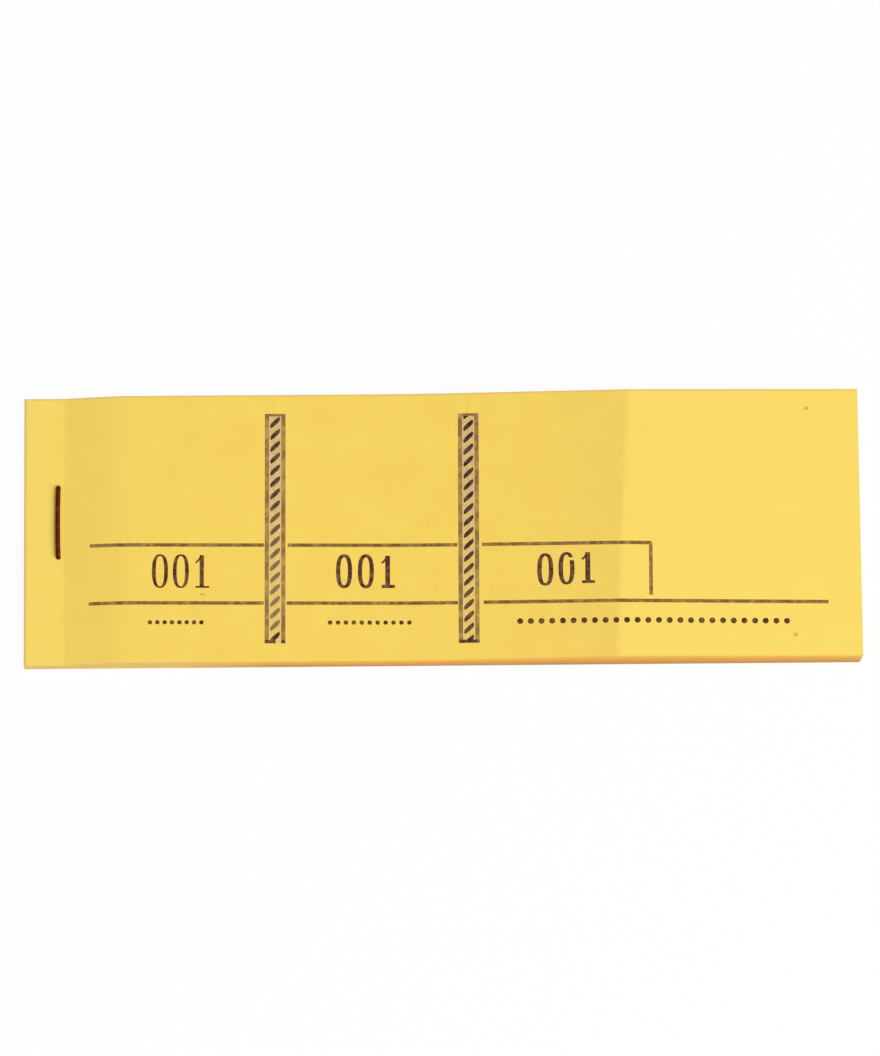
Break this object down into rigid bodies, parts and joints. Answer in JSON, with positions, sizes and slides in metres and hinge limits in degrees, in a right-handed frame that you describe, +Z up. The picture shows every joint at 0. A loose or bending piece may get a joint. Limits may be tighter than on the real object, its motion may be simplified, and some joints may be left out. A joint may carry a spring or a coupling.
{
  "type": "numbered ticket book",
  "caption": "Long stapled block of yellow paper tickets; each leaf turns up at a fold beside the staple, and the top ticket folds along its perforated lines.",
  "frame": {"origin": "on the surface that the book lies on, under the middle of the block", "axes": "+X from the stapled edge to the free end, +Y away from the reader, +Z up out of the printed faces"},
  "size_m": [0.15, 0.05, 0.0052],
  "materials": {
    "ticket_paper": "uncoated yellow paper, matt",
    "top_ticket_paper": "uncoated yellow paper, matt, printed in dark brown",
    "staple_wire": "copper-brown coated steel wire, satin"
  },
  "bodies": {
    "block": {"staple": "staple_wire", "ticket_01_margin": "top_ticket_paper", "ticket_02_margin": "ticket_paper", "ticket_03_margin": "ticket_paper", "ticket_04_margin": "ticket_paper", "ticket_05_margin": "ticket_paper", "ticket_06_margin": "ticket_paper", "ticket_07_margin": "ticket_paper", "ticket_08_margin": "ticket_paper", "ticket_09_margin": "ticket_paper", "ticket_10_margin": "ticket_paper", "ticket_11_margin": "ticket_paper", "ticket_12_margin": "ticket_paper", "ticket_13_margin": "ticket_paper", "ticket_14_margin": "ticket_paper", "ticket_15_margin": "ticket_paper", "ticket_16_margin": "ticket_paper", "ticket_17_margin": "ticket_paper", "ticket_18_margin": "ticket_paper", "ticket_19_margin": "ticket_paper", "ticket_20_margin": "ticket_paper", "ticket_21_margin": "ticket_paper", "ticket_22_margin": "ticket_paper", "ticket_23_margin": "ticket_paper", "ticket_24_margin": "ticket_paper", "ticket_25": "ticket_paper"},
    "leaf_02": {"ticket_02": "ticket_paper"},
    "leaf_03": {"ticket_03": "ticket_paper"},
    "leaf_04": {"ticket_04": "ticket_paper"},
    "leaf_05": {"ticket_05": "ticket_paper"},
    "leaf_06": {"ticket_06": "ticket_paper"},
    "leaf_07": {"ticket_07": "ticket_paper"},
    "leaf_08": {"ticket_08": "ticket_paper"},
    "leaf_09": {"ticket_09": "ticket_paper"},
    "leaf_10": {"ticket_10": "ticket_paper"},
    "leaf_11": {"ticket_11": "ticket_paper"},
    "leaf_12": {"ticket_12": "ticket_paper"},
    "leaf_13": {"ticket_13": "ticket_paper"},
    "leaf_14": {"ticket_14": "ticket_paper"},
    "leaf_15": {"ticket_15": "ticket_paper"},
    "leaf_16": {"ticket_16": "ticket_paper"},
    "leaf_17": {"ticket_17": "ticket_paper"},
    "leaf_18": {"ticket_18": "ticket_paper"},
    "leaf_19": {"ticket_19": "ticket_paper"},
    "leaf_20": {"ticket_20": "ticket_paper"},
    "leaf_21": {"ticket_21": "ticket_paper"},
    "leaf_22": {"ticket_22": "ticket_paper"},
    "leaf_23": {"ticket_23": "ticket_paper"},
    "leaf_24": {"ticket_24": "ticket_paper"},
    "stub_01": {"ticket_01_stub": "top_ticket_paper"},
    "control_01": {"ticket_01_control": "top_ticket_paper"},
    "customer_01": {"ticket_01_customer": "top_ticket_paper"}
  },
  "joints": [
    {"name": "leaf_02_turn", "type": "hinge", "parent": "block", "child": "leaf_02", "pos_m": [-0.0678, 0, 0.00221], "axis": [0, -1, 0], "range_deg": [0, 50]},
    {"name": "leaf_03_turn", "type": "hinge", "parent": "block", "child": "leaf_03", "pos_m": [-0.0677, 0, 0.00213], "axis": [0, -1, 0], "range_deg": [0, 47.83]},
    {"name": "leaf_04_turn", "type": "hinge", "parent": "block", "child": "leaf_04", "pos_m": [-0.0676, 0, 0.00205], "axis": [0, -1, 0], "range_deg": [0, 45.65]},
    {"name": "leaf_05_turn", "type": "hinge", "parent": "block", "child": "leaf_05", "pos_m": [-0.0675, 0, 0.00197], "axis": [0, -1, 0], "range_deg": [0, 43.48]},
    {"name": "leaf_06_turn", "type": "hinge", "parent": "block", "child": "leaf_06", "pos_m": [-0.0674, 0, 0.00189], "axis": [0, -1, 0], "range_deg": [0, 41.3]},
    {"name": "leaf_07_turn", "type": "hinge", "parent": "block", "child": "leaf_07", "pos_m": [-0.0673, 0, 0.0018], "axis": [0, -1, 0], "range_deg": [0, 39.13]},
    {"name": "leaf_08_turn", "type": "hinge", "parent": "block", "child": "leaf_08", "pos_m": [-0.0672, 0, 0.00172], "axis": [0, -1, 0], "range_deg": [0, 36.96]},
    {"name": "leaf_09_turn", "type": "hinge", "parent": "block", "child": "leaf_09", "pos_m": [-0.0671, 0, 0.00163], "axis": [0, -1, 0], "range_deg": [0, 34.78]},
    {"name": "leaf_10_turn", "type": "hinge", "parent": "block", "child": "leaf_10", "pos_m": [-0.067, 0, 0.00154], "axis": [0, -1, 0], "range_deg": [0, 32.61]},
    {"name": "leaf_11_turn", "type": "hinge", "parent": "block", "child": "leaf_11", "pos_m": [-0.0669, 0, 0.00146], "axis": [0, -1, 0], "range_deg": [0, 30.44]},
    {"name": "leaf_12_turn", "type": "hinge", "parent": "block", "child": "leaf_12", "pos_m": [-0.0668, 0, 0.00137], "axis": [0, -1, 0], "range_deg": [0, 28.26]},
    {"name": "leaf_13_turn", "type": "hinge", "parent": "block", "child": "leaf_13", "pos_m": [-0.0667, 0, 0.00127], "axis": [0, -1, 0], "range_deg": [0, 26.09]},
    {"name": "leaf_14_turn", "type": "hinge", "parent": "block", "child": "leaf_14", "pos_m": [-0.0666, 0, 0.00118], "axis": [0, -1, 0], "range_deg": [0, 23.91]},
    {"name": "leaf_15_turn", "type": "hinge", "parent": "block", "child": "leaf_15", "pos_m": [-0.0665, 0, 0.00109], "axis": [0, -1, 0], "range_deg": [0, 21.74]},
    {"name": "leaf_16_turn", "type": "hinge", "parent": "block", "child": "leaf_16", "pos_m": [-0.0664, 0, 0.00099], "axis": [0, -1, 0], "range_deg": [0, 19.57]},
    {"name": "leaf_17_turn", "type": "hinge", "parent": "block", "child": "leaf_17", "pos_m": [-0.0663, 0, 0.0009], "axis": [0, -1, 0], "range_deg": [0, 17.39]},
    {"name": "leaf_18_turn", "type": "hinge", "parent": "block", "child": "leaf_18", "pos_m": [-0.0662, 0, 0.0008], "axis": [0, -1, 0], "range_deg": [0, 15.22]},
    {"name": "leaf_19_turn", "type": "hinge", "parent": "block", "child": "leaf_19", "pos_m": [-0.0661, 0, 0.0007], "axis": [0, -1, 0], "range_deg": [0, 13.04]},
    {"name": "leaf_20_turn", "type": "hinge", "parent": "block", "child": "leaf_20", "pos_m": [-0.066, 0, 0.0006], "axis": [0, -1, 0], "range_deg": [0, 10.87]},
    {"name": "leaf_21_turn", "type": "hinge", "parent": "block", "child": "leaf_21", "pos_m": [-0.0659, 0, 0.0005], "axis": [0, -1, 0], "range_deg": [0, 8.7]},
    {"name": "leaf_22_turn", "type": "hinge", "parent": "block", "child": "leaf_22", "pos_m": [-0.0658, 0, 0.0004], "axis": [0, -1, 0], "range_deg": [0, 6.52]},
    {"name": "leaf_23_turn", "type": "hinge", "parent": "block", "child": "leaf_23", "pos_m": [-0.0657, 0, 0.00029], "axis": [0, -1, 0], "range_deg": [0, 4.35]},
    {"name": "leaf_24_turn", "type": "hinge", "parent": "block", "child": "leaf_24", "pos_m": [-0.0656, 0, 0.00019], "axis": [0, -1, 0], "range_deg": [0, 2.17]},
    {"name": "top_ticket_turn", "type": "hinge", "parent": "leaf_02", "child": "stub_01", "pos_m": [-0.0679, 0, 0.00229], "axis": [0, -1, 0], "range_deg": [0, 60]},
    {"name": "control_fold", "type": "hinge", "parent": "stub_01", "child": "control_01", "pos_m": [-0.0301, 0, 0.00351], "axis": [0, -1, 0], "range_deg": [0, 60]},
    {"name": "customer_fold", "type": "hinge", "parent": "control_01", "child": "customer_01", "pos_m": [0.0048, 0, 0.00383], "axis": [0, -1, 0], "range_deg": [0, 45]}
  ],
  "couplings": [
    {"joint": "leaf_03_turn", "follows": "leaf_02_turn", "ratio": 0.95652},
    {"joint": "leaf_04_turn", "follows": "leaf_02_turn", "ratio": 0.91304},
    {"joint": "leaf_05_turn", "follows": "leaf_02_turn", "ratio": 0.86957},
    {"joint": "leaf_06_turn", "follows": "leaf_02_turn", "ratio": 0.82609},
    {"joint": "leaf_07_turn", "follows": "leaf_02_turn", "ratio": 0.78261},
    {"joint": "leaf_08_turn", "follows": "leaf_02_turn", "ratio": 0.73913},
    {"joint": "leaf_09_turn", "follows": "leaf_02_turn", "ratio": 0.69565},
    {"joint": "leaf_10_turn", "follows": "leaf_02_turn", "ratio": 0.65217},
    {"joint": "leaf_11_turn", "follows": "leaf_02_turn", "ratio": 0.6087},
    {"joint": "leaf_12_turn", "follows": "leaf_02_turn", "ratio": 0.56522},
    {"joint": "leaf_13_turn", "follows": "leaf_02_turn", "ratio": 0.52174},
    {"joint": "leaf_14_turn", "follows": "leaf_02_turn", "ratio": 0.47826},
    {"joint": "leaf_15_turn", "follows": "leaf_02_turn", "ratio": 0.43478},
    {"joint": "leaf_16_turn", "follows": "leaf_02_turn", "ratio": 0.3913},
    {"joint": "leaf_17_turn", "follows": "leaf_02_turn", "ratio": 0.34783},
    {"joint": "leaf_18_turn", "follows": "leaf_02_turn", "ratio": 0.30435},
    {"joint": "leaf_19_turn", "follows": "leaf_02_turn", "ratio": 0.26087},
    {"joint": "leaf_20_turn", "follows": "leaf_02_turn", "ratio": 0.21739},
    {"joint": "leaf_21_turn", "follows": "leaf_02_turn", "ratio": 0.17391},
    {"joint": "leaf_22_turn", "follows": "leaf_02_turn", "ratio": 0.13043},
    {"joint": "leaf_23_turn", "follows": "leaf_02_turn", "ratio": 0.086957},
    {"joint": "leaf_24_turn", "follows": "leaf_02_turn", "ratio": 0.043478}
  ]
}
